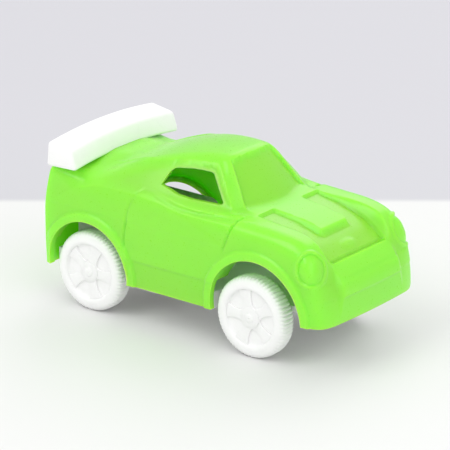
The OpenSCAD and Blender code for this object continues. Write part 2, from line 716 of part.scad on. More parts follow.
module chassis() {
    tail_in = tail_x + wall + side_gap + 0.5;
    color(WHITE) difference() {
        union() {
            tray(tail_in, mid_rear, narrow_hw, floor_z);
            rim_wall(tail_in, mid_rear + 1, narrow_hw, floor_z);
            tray(mid_rear, mid_front, inner_hw, floor_z);
            rim_wall(mid_rear, mid_front, inner_hw, floor_z);
            for (x = catch_x, s = [-1, 1])
                translate([x - catch_l / 2, s > 0 ? inner_hw - floor_t : -inner_hw - catch_out, floor_z + 2])
                    cube([catch_l, floor_t + catch_out, 1]);
            translate([tail_in, -inner_hw + 1, floor_z]) cube([floor_t, 2 * inner_hw - 2, rim_h + 0.4]);
            translate([mid_front - floor_t, -inner_hw, floor_z]) cube([floor_t, 2 * inner_hw, front_floor_z + floor_t - floor_z]);
            tray(mid_front - floor_t, nose_rear, narrow_hw, front_floor_z);
            translate([nose_rear - floor_t, -narrow_hw, front_floor_z]) cube([3.4, 2 * narrow_hw, floor_t]);
            for (s = [-1, 1]) translate([front_x - 2.6, s > 0 ? narrow_hw - block_w : -narrow_hw, axle_z - 2])
                cube([5.2, block_w, front_floor_z - axle_z + 2.1]);
            translate([boss_x, 0, front_floor_z - 0.6]) cylinder(r = boss_r + 0.6, h = floor_t);
            translate([screw_x, 0, floor_z]) cylinder(r = head_r + 1, h = pad_top - floor_z);
        }
        translate([case_rear - slip_fit, -case_out - slip_fit, 0])
            cube([case_front - case_rear + 2 * slip_fit, 2 * (case_out + slip_fit), 30]);
        translate([front_x, 0, axle_z]) rotate([90, 0, 0]) cylinder(r = axle_r + run_fit, h = 40, center = true);
        translate([rear_x - axle_r - 0.4, -half_w, 0]) cube([2 * axle_r + 0.8, body_w, axle_z + axle_r + 0.3]);
        translate([boss_x, 0, 0]) cylinder(r = screw_r + 0.1, h = 20);
        translate([screw_x, 0, 0]) cylinder(r = screw_r + 0.1, h = 20);
        translate([screw_x, 0, 0]) cylinder(r = head_r + slip_fit, h = floor_z + head_h);
    }
}

module chassis_screws() {
    translate([boss_x, 0, front_floor_z - 1.8]) screw(9);
}

body_shell();
rear_wing();
chassis();
chassis_screws();
front_axle();
rear_axle();
front_left_wheel();
front_right_wheel();
rear_left_wheel();
rear_right_wheel();
motor_case();
motor_cover();
motor_screws();
axle_pinion();
clutch_gear();
clutch_pin();
reduction_gear();
reduction_pin();
spring_drum();
drum_lid();
drum_arbor();
mainspring();
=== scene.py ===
"""Pull back car: a moulded lime body with a white wing, wheels and chassis, on a pale studio floor."""
import json
import math

import bmesh
import bpy
import numpy as np
from mathutils import Matrix, Vector


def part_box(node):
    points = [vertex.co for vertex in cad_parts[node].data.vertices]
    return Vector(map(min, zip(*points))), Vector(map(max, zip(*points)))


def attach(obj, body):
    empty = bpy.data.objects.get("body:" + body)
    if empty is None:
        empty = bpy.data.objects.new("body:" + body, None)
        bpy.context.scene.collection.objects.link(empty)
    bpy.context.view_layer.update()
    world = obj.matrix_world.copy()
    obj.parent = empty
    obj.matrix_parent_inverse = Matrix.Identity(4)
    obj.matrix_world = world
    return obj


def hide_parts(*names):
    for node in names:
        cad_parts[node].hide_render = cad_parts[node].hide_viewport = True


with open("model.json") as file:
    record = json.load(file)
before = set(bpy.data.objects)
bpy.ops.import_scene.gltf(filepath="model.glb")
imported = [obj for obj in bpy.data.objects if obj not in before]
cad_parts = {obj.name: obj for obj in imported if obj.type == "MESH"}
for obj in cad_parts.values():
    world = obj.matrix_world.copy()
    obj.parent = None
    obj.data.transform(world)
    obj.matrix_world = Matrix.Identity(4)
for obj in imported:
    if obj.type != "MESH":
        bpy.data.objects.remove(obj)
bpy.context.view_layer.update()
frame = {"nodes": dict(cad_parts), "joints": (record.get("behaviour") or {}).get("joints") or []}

bl_info = {
    "name": "Pull back car",
    "version": (1, 0, 0),
    "blender": (4, 5, 0),
    "location": "3D View > Sidebar > Pull back car",
    "description": "Builds the visible pieces of a moulded pull back car",
    "category": "Object",
}

MM = 0.001


def node_box(name):
    """Lowest and highest corner of a CAD node in millimetres."""
    low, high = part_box(name)
    return np.array(low) / MM, np.array(high) / MM


def joint_place(name):
    """Where a joint's axis stands, in millimetres."""
    joint = next(j for j in frame["joints"] if j["name"] == name)
    return np.array(joint["pos_m"]) / MM


BODY_LOW, BODY_HIGH = node_box("body_shell")
FRONT_AXLE = joint_place("front_axle_spin")
REAR_AXLE = joint_place("rear_axle_spin")


# ---------------------------------------------------------------- settings
class BodySettings(bpy.types.PropertyGroup):
    """Sizes and colour of the moulded body"""

    colour: bpy.props.FloatVectorProperty(
        name="Colour", description="Colour of the lime plastic", subtype="COLOR",
        size=3, min=0, max=1, default=(0.285, 0.95, 0.045))
    deep_colour: bpy.props.FloatVectorProperty(
        name="Deep colour", description="Colour of the plastic where it is thick or shaded",
        subtype="COLOR", size=3, min=0, max=1, default=(0.2, 0.82, 0.02))
    wall: bpy.props.FloatProperty(
        name="Wall", description="Thickness of the moulded wall, in millimetres", default=1.2, min=0.6, max=2)
    grid: bpy.props.FloatProperty(
        name="Grid", description="Distance between the points of the skin, in millimetres",
        default=0.29, min=0.25, max=3)
    belt: bpy.props.FloatProperty(
        name="Waist line", description="Height of the waist line, in millimetres", default=30.4)


class WheelSettings(bpy.types.PropertyGroup):
    """Sizes and colour of the wheels"""

    colour: bpy.props.FloatVectorProperty(
        name="Colour", description="Colour of the white plastic", subtype="COLOR",
        size=3, min=0, max=1, default=(0.9, 0.9, 0.895))
    ribs: bpy.props.IntProperty(
        name="Ribs", description="Number of ribs round the tread", default=62, min=20, max=90)
    rib_depth: bpy.props.FloatProperty(
        name="Rib depth", description="Depth of the tread's grooves, in millimetres",
        default=0.32, min=0, max=0.8)
    spokes: bpy.props.IntProperty(name="Spokes", description="Number of spokes", default=5, min=3, max=8)
    rim: bpy.props.FloatProperty(
        name="Rim", description="Radius of the sunk face, in millimetres", default=6.2, min=4, max=7.5)
    dish: bpy.props.FloatProperty(
        name="Dish", description="Depth of the sunk face, in millimetres", default=0.85, min=0.3, max=1.6)


class StageSettings(bpy.types.PropertyGroup):
    """Floor, background and the camera's lens"""

    floor_colour: bpy.props.FloatVectorProperty(
        name="Floor", description="Colour of the floor", subtype="COLOR", size=3, min=0, max=1,
        default=(0.79, 0.79, 0.785))
    wall_colour: bpy.props.FloatVectorProperty(
        name="Background", description="Colour behind the floor", subtype="COLOR", size=3, min=0, max=1,
        default=(0.6, 0.595, 0.63))
    lens: bpy.props.FloatProperty(
        name="Lens", description="Focal length of the camera in millimetres", default=258.3)


# ---------------------------------------------------------------- shader expressions
class Value:
    """Wraps a socket, so that shader maths can be written as an expression"""

    def __init__(self, shader, socket):
        self.shader = shader
        self.socket = socket

    def _math(self, operation, *values):
        return self.shader.node("ShaderNodeMath", {"operation": operation}, dict(enumerate(values)))

    def __add__(self, other):
        return self._math("ADD", self, other)

    def __sub__(self, other):
        return self._math("SUBTRACT", self, other)

    def __rsub__(self, other):
        return self._math("SUBTRACT", other, self)

    def __mul__(self, other):
        return self._math("MULTIPLY", self, other)

    __radd__ = __add__
    __rmul__ = __mul__

    def above(self, edge, soft):
        """0 below the edge, 1 above it, with a soft change between"""
        return self.shader.node(
            "ShaderNodeMapRange", {"interpolation_type": "SMOOTHSTEP"},
            {"Value": self, "From Min": edge - soft, "From Max": edge + soft})


class Shader:
    """A material or a world under construction"""

    def __init__(self, owner, output="ShaderNodeOutputMaterial"):
        self.owner = owner
        owner.use_nodes = True
        self.tree = owner.node_tree
        self.tree.nodes.clear()
        self.output = self.tree.nodes.new(output)

    def node(self, kind, settings, values, output=0):
        """Adds a node, sets it, and gives each of its sockets a value or a link"""
        made = self.tree.nodes.new(kind)
        for key, value in settings.items():
            setattr(made, key, value)
        for key, value in values.items():
            if isinstance(value, Value):
                self.tree.links.new(value.socket, made.inputs[key])
            else:
                made.inputs[key].default_value = value
        return Value(self, made.outputs[output])

    def place(self):
        """Object coordinates in millimetres"""
        here = self.node("ShaderNodeTexCoord", {}, {}, "Object")
        return self.node("ShaderNodeVectorMath", {"operation": "SCALE"}, {0: here, "Scale": 1 / MM})

    def noise(self, place, scale, detail):
        return self.node("ShaderNodeTexNoise", {}, {"Vector": place, "Scale": scale, "Detail": detail})

    def blend(self, factor, first, second):
        """Mixes two colours"""
        return self.node("ShaderNodeMix", {"data_type": "RGBA"}, {0: factor, 6: first, 7: second}, 2)

    def bump(self, height, distance):
        return self.node("ShaderNodeBump", {}, {"Height": height, "Distance": distance * MM})

    def shown(self):
        """1 for the rays that show the background: the camera's, and those reflected or let through"""
        camera, glossy, through = (self.node("ShaderNodeLightPath", {}, {}, f"Is {kind} Ray")
                                   for kind in ("Camera", "Glossy", "Transmission"))
        return camera + glossy + through

    def show(self, surface):
        self.tree.links.new(surface.socket, self.output.inputs["Surface"])
        return self.owner

    def principled(self, values):
        return self.show(self.node("ShaderNodeBsdfPrincipled", {}, values))


def rgba(colour, shade=1.0):
    return tuple(c * shade for c in colour) + (1.0,)


def lime_plastic(colour, deep):
    """Moulded lime plastic: slightly uneven gloss, and light scattered a little way inside"""
    s = Shader(bpy.data.materials.new("lime_plastic"))
    place = s.place()
    drift = s.noise(place, 0.045, 2.0)
    grain = s.noise(place, 2.6, 4.0)
    ripple = s.noise(place, 0.16, 2.0)
    return s.principled({
        "Base Color": s.blend(drift * 0.5, rgba(colour), rgba(deep)),
        "Roughness": 0.24 + grain * 0.1,
        "Normal": s.bump(grain * 0.12 + ripple * 0.7, 0.09),
        "Subsurface Weight": 0.7, "Subsurface Radius": (0.8, 1.0, 0.3), "Subsurface Scale": 4.5 * MM,
        "Coat Weight": 0.18, "Coat Roughness": 0.12, "IOR": 1.49})


def white_plastic(name, colour, rough=0.42):
    """Moulded white plastic with a fine eggshell surface and a trace of handling marks"""
    s = Shader(bpy.data.materials.new(name))
    place = s.place()
    grain = s.noise(place, 3.2, 4.0)
    marks = s.noise(place, 0.35, 5.0)
    return s.principled({
        "Base Color": s.blend(marks.above(0.62, 0.1) * 0.5, rgba(colour), rgba(colour, 0.95)),
        "Roughness": rough + grain * 0.14,
        "Normal": s.bump(grain, 0.02),
        "Subsurface Weight": 0.15, "Subsurface Radius": (1.0, 1.0, 1.0), "Subsurface Scale": 0.8 * MM,
        "IOR": 1.5})


def steel(name, colour, rough, stretch):
    """Drawn or turned metal with marks that run along the given direction"""
    s = Shader(bpy.data.materials.new(name))
    place = s.node("ShaderNodeVectorMath", {"operation": "MULTIPLY"}, {0: s.place(), 1: stretch})
    lines = s.noise(place, 3.0, 5.0)
    return s.principled({
        "Base Color": s.blend(lines, rgba(colour), rgba(colour, 0.8)),
        "Roughness": rough + lines * 0.15, "Metallic": 1.0,
        "Normal": s.bump(lines, 0.01)})


# ---------------------------------------------------------------- form of the body
def ramp(start, end, v):
    """0 at start, 1 at end, eased between"""
    t = np.clip((v - start) / (end - start), 0, 1)
    return t * t * (3 - 2 * t)


def band(low, high, soft, v):
    """1 between low and high, eased to 0 over a soft edge outside"""
    return ramp(low - soft, low, v) * (1 - ramp(high, high + soft, v))


def groove(distance, half, soft):
    """1 on a line, eased to 0 at its sides"""
    return 1 - ramp(half, half + soft, np.abs(distance))


def blend_max(a, b, k):
    return np.maximum(a, b) + np.maximum(k - np.abs(a - b), 0) ** 2 / (4 * k)


def blend_min(a, b, k):
    return -blend_max(-a, -b, k)


def curve(points, x):
    """Smooth line through chosen points"""
    px, pz = np.array(points, float).T
    slope = np.gradient(pz)
    slope[1:-1] = (pz[2:] - pz[:-2]) / (px[2:] - px[:-2])
    slope[0] = (pz[1] - pz[0]) / (px[1] - px[0])
    slope[-1] = (pz[-1] - pz[-2]) / (px[-1] - px[-2])
    i = np.clip(np.searchsorted(px, x) - 1, 0, len(px) - 2)
    h = px[i + 1] - px[i]
    t = np.clip((x - px[i]) / h, 0, 1)
    return ((2 * t ** 3 - 3 * t ** 2 + 1) * pz[i] + (t ** 3 - 2 * t ** 2 + t) * h * slope[i]
            + (3 * t ** 2 - 2 * t ** 3) * pz[i + 1] + (t ** 3 - t ** 2) * h * slope[i + 1])


class BodyForm:
    """Distance-like measure of the moulded body, in millimetres: below zero inside it"""

    # The roof's highest place and its bend along and across the car
    ROOF_X, ROOF_BEND, ROOF_CROWN = 4, 0.0088, 0.008
    # The windscreen's top edge, its slope and its bow across the car
    SCREEN_X, SCREEN_SLOPE, SCREEN_BOW = 6.1, 1.12, 0.025
    # How far the cabin's sides lean in for each millimetre of height
    SIDE_LEAN = 0.72
    # Arch lips, and the seams of the door with their flat half width and soft edge
    LIP_HEIGHT = 0.5
    SEAM_DEPTH, SEAM_HALF, SEAM_SOFT = 0.35, 0.12, 0.3
    # Bonnet: depth of the sunk field, and the rise, half width and front of its raised middle
    FIELD_DEPTH, BULGE_RISE, BULGE_HALF, BULGE_FRONT = 0.7, 0.45, 5, 5.8
    # Lamps: centre and half axes
    LAMP_AT = (32.6, 15, 22.6)
    LAMP_SIZE = (3.2, 3.75)
    # How far from the car's middle the turned-in edges over the rear and front wheels begin
    RETURN_FROM = (15.2, 12.7)

    def __init__(self, belt):
        self.nose = BODY_HIGH[0]
        self.tail = BODY_LOW[0]
        self.half_w = 17.5
        self.sill = BODY_LOW[2]
        self.roof = 39.5
        self.belt = belt
        self.front = FRONT_AXLE[0]
        self.rear = REAR_AXLE[0]
        self.rear_arch = (self.rear + 0.4, REAR_AXLE[2] + 0.8, 10.9)
        self.front_arch = (self.front + 1.9, FRONT_AXLE[2] + 1.3, 11.9)
        b, n, t = belt, self.nose, self.tail
        self.crest = [(t, b + 0.7), (t + 8, b + 1.2), (self.rear + 4, b + 1.1), (self.rear + 14, b + 0.3),
                      (0, b - 0.2), (self.front - 6, b - 1), (self.front + 1, b - 1.3),
                      (self.front + 7, b - 1.6), (n - 9, b - 2.3), (n - 6.5, b - 3.5), (n - 4.5, b - 5.8),
                      (n - 3, b - 9), (n, b - 17)]
        self.middle = [(t, b + 2), (t + 8, b + 3), (self.rear + 4, b + 2.6), (self.rear + 14, b + 0.6),
                       (0, b - 0.2), (self.front - 6, b - 0.5), (self.front - 2, b - 1.1),
                       (self.front + 4, b - 2), (n - 10, b - 3.8), (n - 5, b - 6.8), (n - 2.6, b - 9.2),
                       (n - 1, b - 11), (n + 2, b - 16)]
        self.drip = [(-24, b + 2), (-21, b + 3), (-18.2, b + 3.9), (-13.9, b + 5.1), (-7.9, b + 6.3),
                     (-3.1, b + 6.9), (0.7, b + 7.1), (2.5, b + 7), (4.7, b + 6.2), (7, b + 5)]
        self.waist = [(-12, b + 0.2), (-9.4, b + 0.3), (-6.2, b - 0.6), (-2, b - 1.4), (3.3, b - 1.7),
                      (8.4, b - 1.6), (14, b - 1.4)]
        self.rear_seam = [(16, -15.5), (21.2, -15.3), (26.8, -14.4), (29, -13.3), (b - 0.4, -12.5),
                          (b + 0.2, -11.2)]
        self.front_seam = [(22, self.front - 7.1), (28.9, self.front - 4.7), (30.5, self.front - 3.8)]

    def side_y(self, x, z):
        return (self.half_w - 0.3 * ramp(self.sill + 6.4, self.sill - 1, z) - 0.9 * ramp(20, self.belt + 0.6, z)
                - 0.7 * (np.maximum(x - self.nose + 14, 0) / 14) ** 2
                - 0.1 * (np.maximum(self.tail + 9 - x, 0) / 9) ** 2)

    def tail_face(self, y, z):
        return self.tail + 0.0006 * y * y + 0.015 * np.maximum(z - 22, 0) ** 2

    def nose_face(self, y, z):
        lip = self.sill + 10.4
        return (self.nose - 0.0024 * y * y - 0.8 * ramp(lip, lip + 0.6, z) - 0.3 * ramp(lip - 2.7, lip - 3.1, z)
                - 0.3 * ramp(self.sill + 3, self.sill + 1, z))

    def lower(self, x, y, z):
        deck = ramp(-8, -22, x)
        inner = ramp(self.half_w - 6.1 + 1.5 * deck, self.half_w - 7.9 - 6 * deck, y)
        top_z = curve(self.crest, x) * (1 - inner) + curve(self.middle, x) * inner
        fall = np.clip((x - self.nose + 14) / 11, 0, 1) * 1.5
        top = (z - top_z) / np.sqrt(1 + fall * fall)
        shoulder = 3.4 + 2.6 * deck - 4.4 * ramp(self.rear - 1, self.tail + 1, x)
        both = blend_max(y - self.side_y(x, z), top, shoulder)
        corner = 1.2 + 2.5 * ramp(self.half_w - 8.5, self.half_w - 2.5, y)
        return blend_max(blend_max(both, x - self.nose_face(y, z), corner), self.tail_face(y, z) - x, 0.8)

    def cabin(self, x, y, z, detail):
        along = 2 * self.ROOF_BEND * (x - self.ROOF_X)
        roof = ((z - self.roof + self.ROOF_BEND * (x - self.ROOF_X) ** 2 + self.ROOF_CROWN * y * y)
                / np.sqrt(1 + along * along))
        slope = self.SCREEN_SLOPE
        screen = (((x - self.SCREEN_X + self.SCREEN_BOW * y * y) * slope + z - self.roof + 0.4)
                  / math.sqrt(1 + slope * slope))
        lean = self.SIDE_LEAN
        foot = self.half_w - 1.9 - 3 * (np.maximum(x + 15, 0) / 23) ** 2
        side = (y - foot + lean * (z - self.belt - 0.6)) / math.sqrt(1 + lean * lean)
        if detail:
            # The windscreen and the side glass lie deeper than their frames, with ridges on the pillars
            screen_top = self.roof - 0.75 - 0.012 * y * y
            screen_edge = y - 7.2 - (self.roof - 2.3 - z) * 0.37
            below_roof = ramp(self.roof - 0.7, self.roof - 1.7, z)
            screen = screen + 0.5 * ramp(0.2, -0.3, screen_edge) * ramp(0.25, -0.45, z - screen_top)
            screen = screen - 0.16 * groove(screen_edge - 0.35, 0.15, 0.5) * below_roof
            pillar = x - 4.8 - (self.belt + 5.5 - z) * 0.88
            side = side + 0.45 * ramp(0.1, -0.4, z - curve(self.drip, x)) * ramp(0.1, -0.4, pillar)
            side = side + 0.25 * groove(pillar - 1.4, 0.3, 0.5) * below_roof
            rear_glass = y - 9.6 - 0.16 * (x + 16)
            roof = roof - 0.25 * groove(rear_glass, 0.25, 0.5) * band(-23, -14, 3, x)
        body = blend_max(blend_max(roof, side, 2.2), screen, 0.9 if detail else 1.8)
        return np.maximum(np.maximum(body, y - self.side_y(x, z) + 0.4),
                          np.maximum(self.tail_face(y, z) - x, 24 - z))

    def dents(self, x, y, z):
        """Depth of the moulded details of the lower body, measured inwards"""
        return self.arch_lips(x, y, z) + self.door_lines(x, y, z) + self.bonnet(x, y, z) - self.lamps(x, y, z)

    def arch_lips(self, x, y, z):
        depth = np.zeros_like(x)
        for cx, cz, r in (self.rear_arch, self.front_arch):
            out = np.hypot(x - cx, z - cz)
            depth -= (self.LIP_HEIGHT * band(r - 1, r + 1.7, 0.5, out) * ramp(12, 14, y)
                      * ramp(self.tail + 0.6, self.tail + 2.4, x))
        return depth

    def door_lines(self, x, y, z):
        """The step along the sill, the two seams of the door and the crease along the waist"""
        sill_line = self.sill + 6 + (x + 14) * 0.008
        depth = 0.3 * ramp(0.3, -0.3, z - sill_line) * band(-14.4, self.front - 8.4, 0.6, x) * ramp(14, 16, y)
        rear_seam = groove(x - curve(self.rear_seam, z), self.SEAM_HALF, self.SEAM_SOFT)
        depth += self.SEAM_DEPTH * rear_seam * band(17.5, self.belt - 0.3, 1, z) * ramp(12, 14.5, y)
        front_seam = groove(x - curve(self.front_seam, z), self.SEAM_HALF, self.SEAM_SOFT)
        depth += self.SEAM_DEPTH * front_seam * ramp(22, 23.5, z) * ramp(11.5, 13.5, y)
        waist = groove(z - curve(self.waist, x), 0.15, 0.5)
        return depth + 0.25 * waist * band(-11.6, self.front - 4.8, 0.5, x) * ramp(14, 15, y)

    def bonnet(self, x, y, z):
        """The sunk field with its raised middle, the crease at its front and the soft pad before it"""
        on_top = z > 21
        rear, front = self.front - 2.4, self.nose - 4.6
        bulge_front = front - self.BULGE_FRONT
        width = 10.3 - (x - rear) * 0.04
        field = band(rear, front, 0.45, x) * ramp(0.25, -0.25, y - width) * on_top
        bulge = ramp(0.5, -0.4, y - self.BULGE_HALF + (x - rear) * 0.04) * ramp(0.5, -0.4, x - bulge_front)
        depth = field * (self.FIELD_DEPTH * (1 - bulge) - self.BULGE_RISE * bulge * ramp(rear, bulge_front, x))
        depth += 0.35 * groove(x - front + 0.1, 0.3, 0.5) * ramp(0.3, -0.3, y - width + 0.4) * on_top
        pad = np.hypot((x - front + 2.2) / 1.4, y / 2.8)
        return depth - 0.15 * ramp(1.1, 0.3, pad) * on_top

    def lamps(self, x, y, z):
        """Height of the oval rim and the domed lens of a lamp"""
        px, py, pz = x - self.LAMP_AT[0], y - self.LAMP_AT[1], z - self.LAMP_AT[2]
        across = 0.731 * px - 0.682 * py
        up = -0.299 * px - 0.321 * py + 0.899 * pz
        oval = np.hypot(across / self.LAMP_SIZE[0], up / self.LAMP_SIZE[1])
        rim, dome, moat = groove(oval - 1, 0.03, 0.13), ramp(0.95, 0.3, oval), groove(oval - 0.84, 0.02, 0.08)
        return (x > 25) * (y > 8) * (0.28 * rim + 0.3 * dome - 0.1 * moat)

    def __call__(self, x, y, z, detail=True):
        y = np.abs(y)
        lower = self.lower(x, y, z)
        if detail:
            lower = lower + self.dents(x, y, z)
        return blend_min(lower, self.cabin(x, y, z, detail), 1.0)


# Height of the box round the body, depth of its core inside it, and the longest way from the core to the form
BOX_TOP, BOX_CORE, LONGEST_WAY = 29.0, 8.0, 22.0
HALVINGS = 26


def walk_to_form(points, form, level, detail):
    """Moves points of the surrounding box along rays from its core until they meet the form"""
    start = np.stack([np.clip(points[:, 0], form.tail + BOX_CORE, form.nose - BOX_CORE),
                      np.clip(points[:, 1], BOX_CORE - form.half_w, form.half_w - BOX_CORE),
                      np.minimum(points[:, 2], BOX_TOP - BOX_CORE)], 1)
    way = points - start
    way /= np.linalg.norm(way, axis=1)[:, None]
    low, high = np.zeros(len(points)), np.full(len(points), LONGEST_WAY)
    for _ in range(HALVINGS):
        mid = (low + high) / 2
        x, y, z = (start + way * mid[:, None]).T
        inside = form(x, y, z, detail) < level
        low, high = np.where(inside, mid, low), np.where(inside, high, mid)
    return start + way * low[:, None]


# ---------------------------------------------------------------- mesh helpers
def piece(name, bm, material, sharp=35.0):
    """Turns a bmesh in millimetres into a smooth-shaded object in metres"""
    bmesh.ops.scale(bm, vec=(MM, MM, MM), verts=bm.verts)
    mesh = bpy.data.meshes.new(name)
    bm.to_mesh(mesh)
    bm.free()
    mesh.shade_smooth()
    mesh.set_sharp_from_angle(angle=math.radians(sharp))
    mesh.materials.append(material)
    made = bpy.data.objects.new(name, mesh)
    bpy.context.scene.collection.objects.link(made)
    return made


def carve(base, cutters, operation="DIFFERENCE"):
    """Cuts closed objects out of a closed object, or joins them to it, and applies the result"""
    for cutter in cutters:
        step = base.modifiers.new("cut", "BOOLEAN")
        step.operation = operation
        step.solver = "MANIFOLD"
        step.object = cutter
    graph = bpy.context.evaluated_depsgraph_get()
    done = bpy.data.meshes.new_from_object(base.evaluated_get(graph))
    base.modifiers.clear()
    old = base.data
    base.data = done
    bpy.data.meshes.remove(old)
    for cutter in cutters:
        bpy.data.objects.remove(cutter)


def lathe(bm, profile, steps):
    """Spins a profile of (radius, height) points about Z, in millimetres"""
    verts = [bm.verts.new((r, 0, h)) for r, h in profile]
    edges = [bm.edges.new(pair) for pair in zip(verts, verts[1:])]
    bmesh.ops.spin(bm, geom=verts + edges, cent=(0, 0, 0), axis=(0, 0, 1), angle=math.tau,
                   steps=steps, use_merge=True)
    bmesh.ops.remove_doubles(bm, verts=bm.verts, dist=1e-4)


def prism(bm, outline, low, high):
    """Extrudes a closed outline of (x, y) points from low to high along Z"""
    face = bm.faces.new([bm.verts.new((x, y, low)) for x, y in outline])
    raised = bmesh.ops.extrude_face_region(bm, geom=[face])["geom"]
    top = [v for v in raised if isinstance(v, bmesh.types.BMVert)]
    bmesh.ops.translate(bm, vec=(0, 0, high - low), verts=top)
    bmesh.ops.recalc_face_normals(bm, faces=bm.faces)
    return top


def arc(cx, cy, r, start, end, steps):
    return [(cx + r * math.cos(math.radians(start + (end - start) * i / steps)),
             cy + r * math.sin(math.radians(start + (end - start) * i / steps))) for i in range(steps + 1)]


def across_car(bm):
    """Turns a prism drawn in X and Y, with its depth along Z, so that its depth lies along Y"""
    bmesh.ops.rotate(bm, matrix=Matrix.Rotation(math.radians(90), 3, "X"), verts=bm.verts)


def skin(form, level, low_z, spacing, detail):
    """Closed skin of the body at a level of its form"""
    bm = bmesh.new()
    bmesh.ops.create_cube(bm, size=1.0)
    size = (form.nose - form.tail, 2 * form.half_w, BOX_TOP - low_z)
    for axis in range(3):
        along = [e for e in bm.edges if abs((e.verts[0].co - e.verts[1].co)[axis]) > 1e-6]
        bmesh.ops.subdivide_edges(bm, edges=along, cuts=int(size[axis] / spacing), use_grid_fill=True)
    bmesh.ops.scale(bm, vec=size, verts=bm.verts)
    bmesh.ops.translate(bm, vec=((form.nose + form.tail) / 2, 0, (BOX_TOP + low_z) / 2), verts=bm.verts)
    under = [f for f in bm.faces if f.normal.z < -0.5]
    bmesh.ops.delete(bm, geom=under, context="FACES")
    points = np.array([v.co for v in bm.verts])
    for vert, place in zip(bm.verts, walk_to_form(points, form, level, detail)):
        vert.co = place
    rim = [e for e in bm.edges if e.is_boundary]
    bmesh.ops.holes_fill(bm, edges=rim, sides=0)
    bmesh.ops.recalc_face_normals(bm, faces=bm.faces)
    return bm


def window_outline(belt):
    z, rear, front = belt + 0.1, -7.9, 7.7
    top = z + 5.7
    return ([(rear, z + 1.7)] + arc(rear + 2.8, top - 2.6, 2.2, 165, 95, 12) + [(-2, top - 0.05), (0, top)]
            + arc(front - 5.4, top - 1.5, 1.4, 80, 35, 8) + arc(front - 0.6, z + 0.4, 0.4, 35, -90, 6)
            + [(0, z + 0.2), (-3.4, z + 0.55), (-5.6, z + 1.15)])


def arch_return(form, arch, reach, side):
    """Turned-in edge above a wheel: a strip along the arch that reaches inwards from the body's wall"""
    cx, cz, r = arch
    low = math.degrees(math.asin(5 / r))
    bm = bmesh.new()
    outline = arc(cx, cz, r + 1.2, low, 180 - low, 40) + arc(cx, cz, r - 0.4, 180 - low, low, 40)
    top = prism(bm, outline, reach, form.half_w - 0.5)
    for v in top:
        v.co.z = form.side_y(v.co.x, v.co.y) - 0.5
    across_car(bm)
    if side > 0:
        bmesh.ops.scale(bm, vec=(1, -1, 1), verts=bm.verts)
        bmesh.ops.reverse_faces(bm, faces=bm.faces)
    return bm


class CAR_OT_body(bpy.types.Operator):
    """Moulds the hollow body with its windows, arches, seams and lamps"""

    bl_idname = "car.body"
    bl_label = "Body"

    def execute(self, context):
        s = context.scene.car_body
        lime = lime_plastic(s.colour, s.deep_colour)
        form = BodyForm(s.belt)
        body = piece("moulded_body", skin(form, 0.0, form.sill, s.grid, True), lime)
        inner = piece("hollow", skin(form, -s.wall, form.sill - 3, 1.1, False), lime)
        carve(body, [inner])
        returns = [piece("return", arch_return(form, arch, reach, side), lime)
                   for arch, reach in zip((form.rear_arch, form.front_arch), form.RETURN_FROM)
                   for side in (-1, 1)]
        carve(body, returns, "UNION")
        carve(body, [self.window_cut(s, lime)] + self.arch_cuts(form, lime) + [self.chin_cut(form, lime)])
        body.data.set_sharp_from_angle(angle=math.radians(40))
        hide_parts("body_shell")
        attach(body, "car")
        return {"FINISHED"}

    def window_cut(self, s, lime):
        bm = bmesh.new()
        prism(bm, window_outline(s.belt), -25, 25)
        across_car(bm)
        return piece("window_cut", bm, lime)

    def arch_cuts(self, form, lime):
        middle, depth = 16.7, 10
        cuts = []
        for cx, cz, r in (form.rear_arch, form.front_arch):
            for side in (-1, 1):
                bm = bmesh.new()
                bmesh.ops.create_cone(bm, cap_ends=True, segments=160, radius1=r, radius2=r, depth=depth)
                across_car(bm)
                bmesh.ops.translate(bm, vec=(cx, side * middle, cz), verts=bm.verts)
                cuts.append(piece("arch_cut", bm, lime))
        return cuts

    def chin_cut(self, form, lime):
        """Block that cuts the nose off a little above the sills"""
        bm = bmesh.new()
        bmesh.ops.create_cube(bm, size=1.0)
        bmesh.ops.scale(bm, vec=(10, 40, 12), verts=bm.verts)
        bmesh.ops.translate(bm, vec=(form.nose - 3.5, 0, form.sill - 4.1), verts=bm.verts)
        return piece("chin_cut", bm, lime)


class CAR_OT_wing(bpy.types.Operator):
    """Makes the arched white wing that is clipped to the tail deck"""

    bl_idname = "car.wing"
    bl_label = "Rear wing"

    def execute(self, context):
        low, high = node_box("rear_wing")
        rear, reach = low[0], high[1]
        rise, thick = 1.3, 5.9
        foot = high[2] - (rise + thick)
        section = [(rear, foot + 0.2), (rear + 8.4, foot + 0.5), (rear + 6.9, foot + 4.9),
                   (rear + 0.5, foot + thick)]
        bm = bmesh.new()
        prism(bm, section, -reach, reach)
        across_car(bm)
        long_edges = [e for e in bm.edges if abs((e.verts[0].co - e.verts[1].co).y) > 1]
        bmesh.ops.subdivide_edges(bm, edges=long_edges, cuts=35)
        rounded = [e for e in bm.edges if e.calc_face_angle(0) > 0.5]
        bmesh.ops.bevel(bm, geom=rounded, offset=0.85, offset_type="OFFSET", segments=4, profile=0.5,
                        affect="EDGES", clamp_overlap=True, material=-1)
        for v in bm.verts:
            v.co.z += rise * (1 - (v.co.y / reach) ** 2)
        white = white_plastic("white_plastic", context.scene.car_wheels.colour)
        wing = piece("arched_wing", bm, white)
        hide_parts("rear_wing")
        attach(wing, "car")
        return {"FINISHED"}


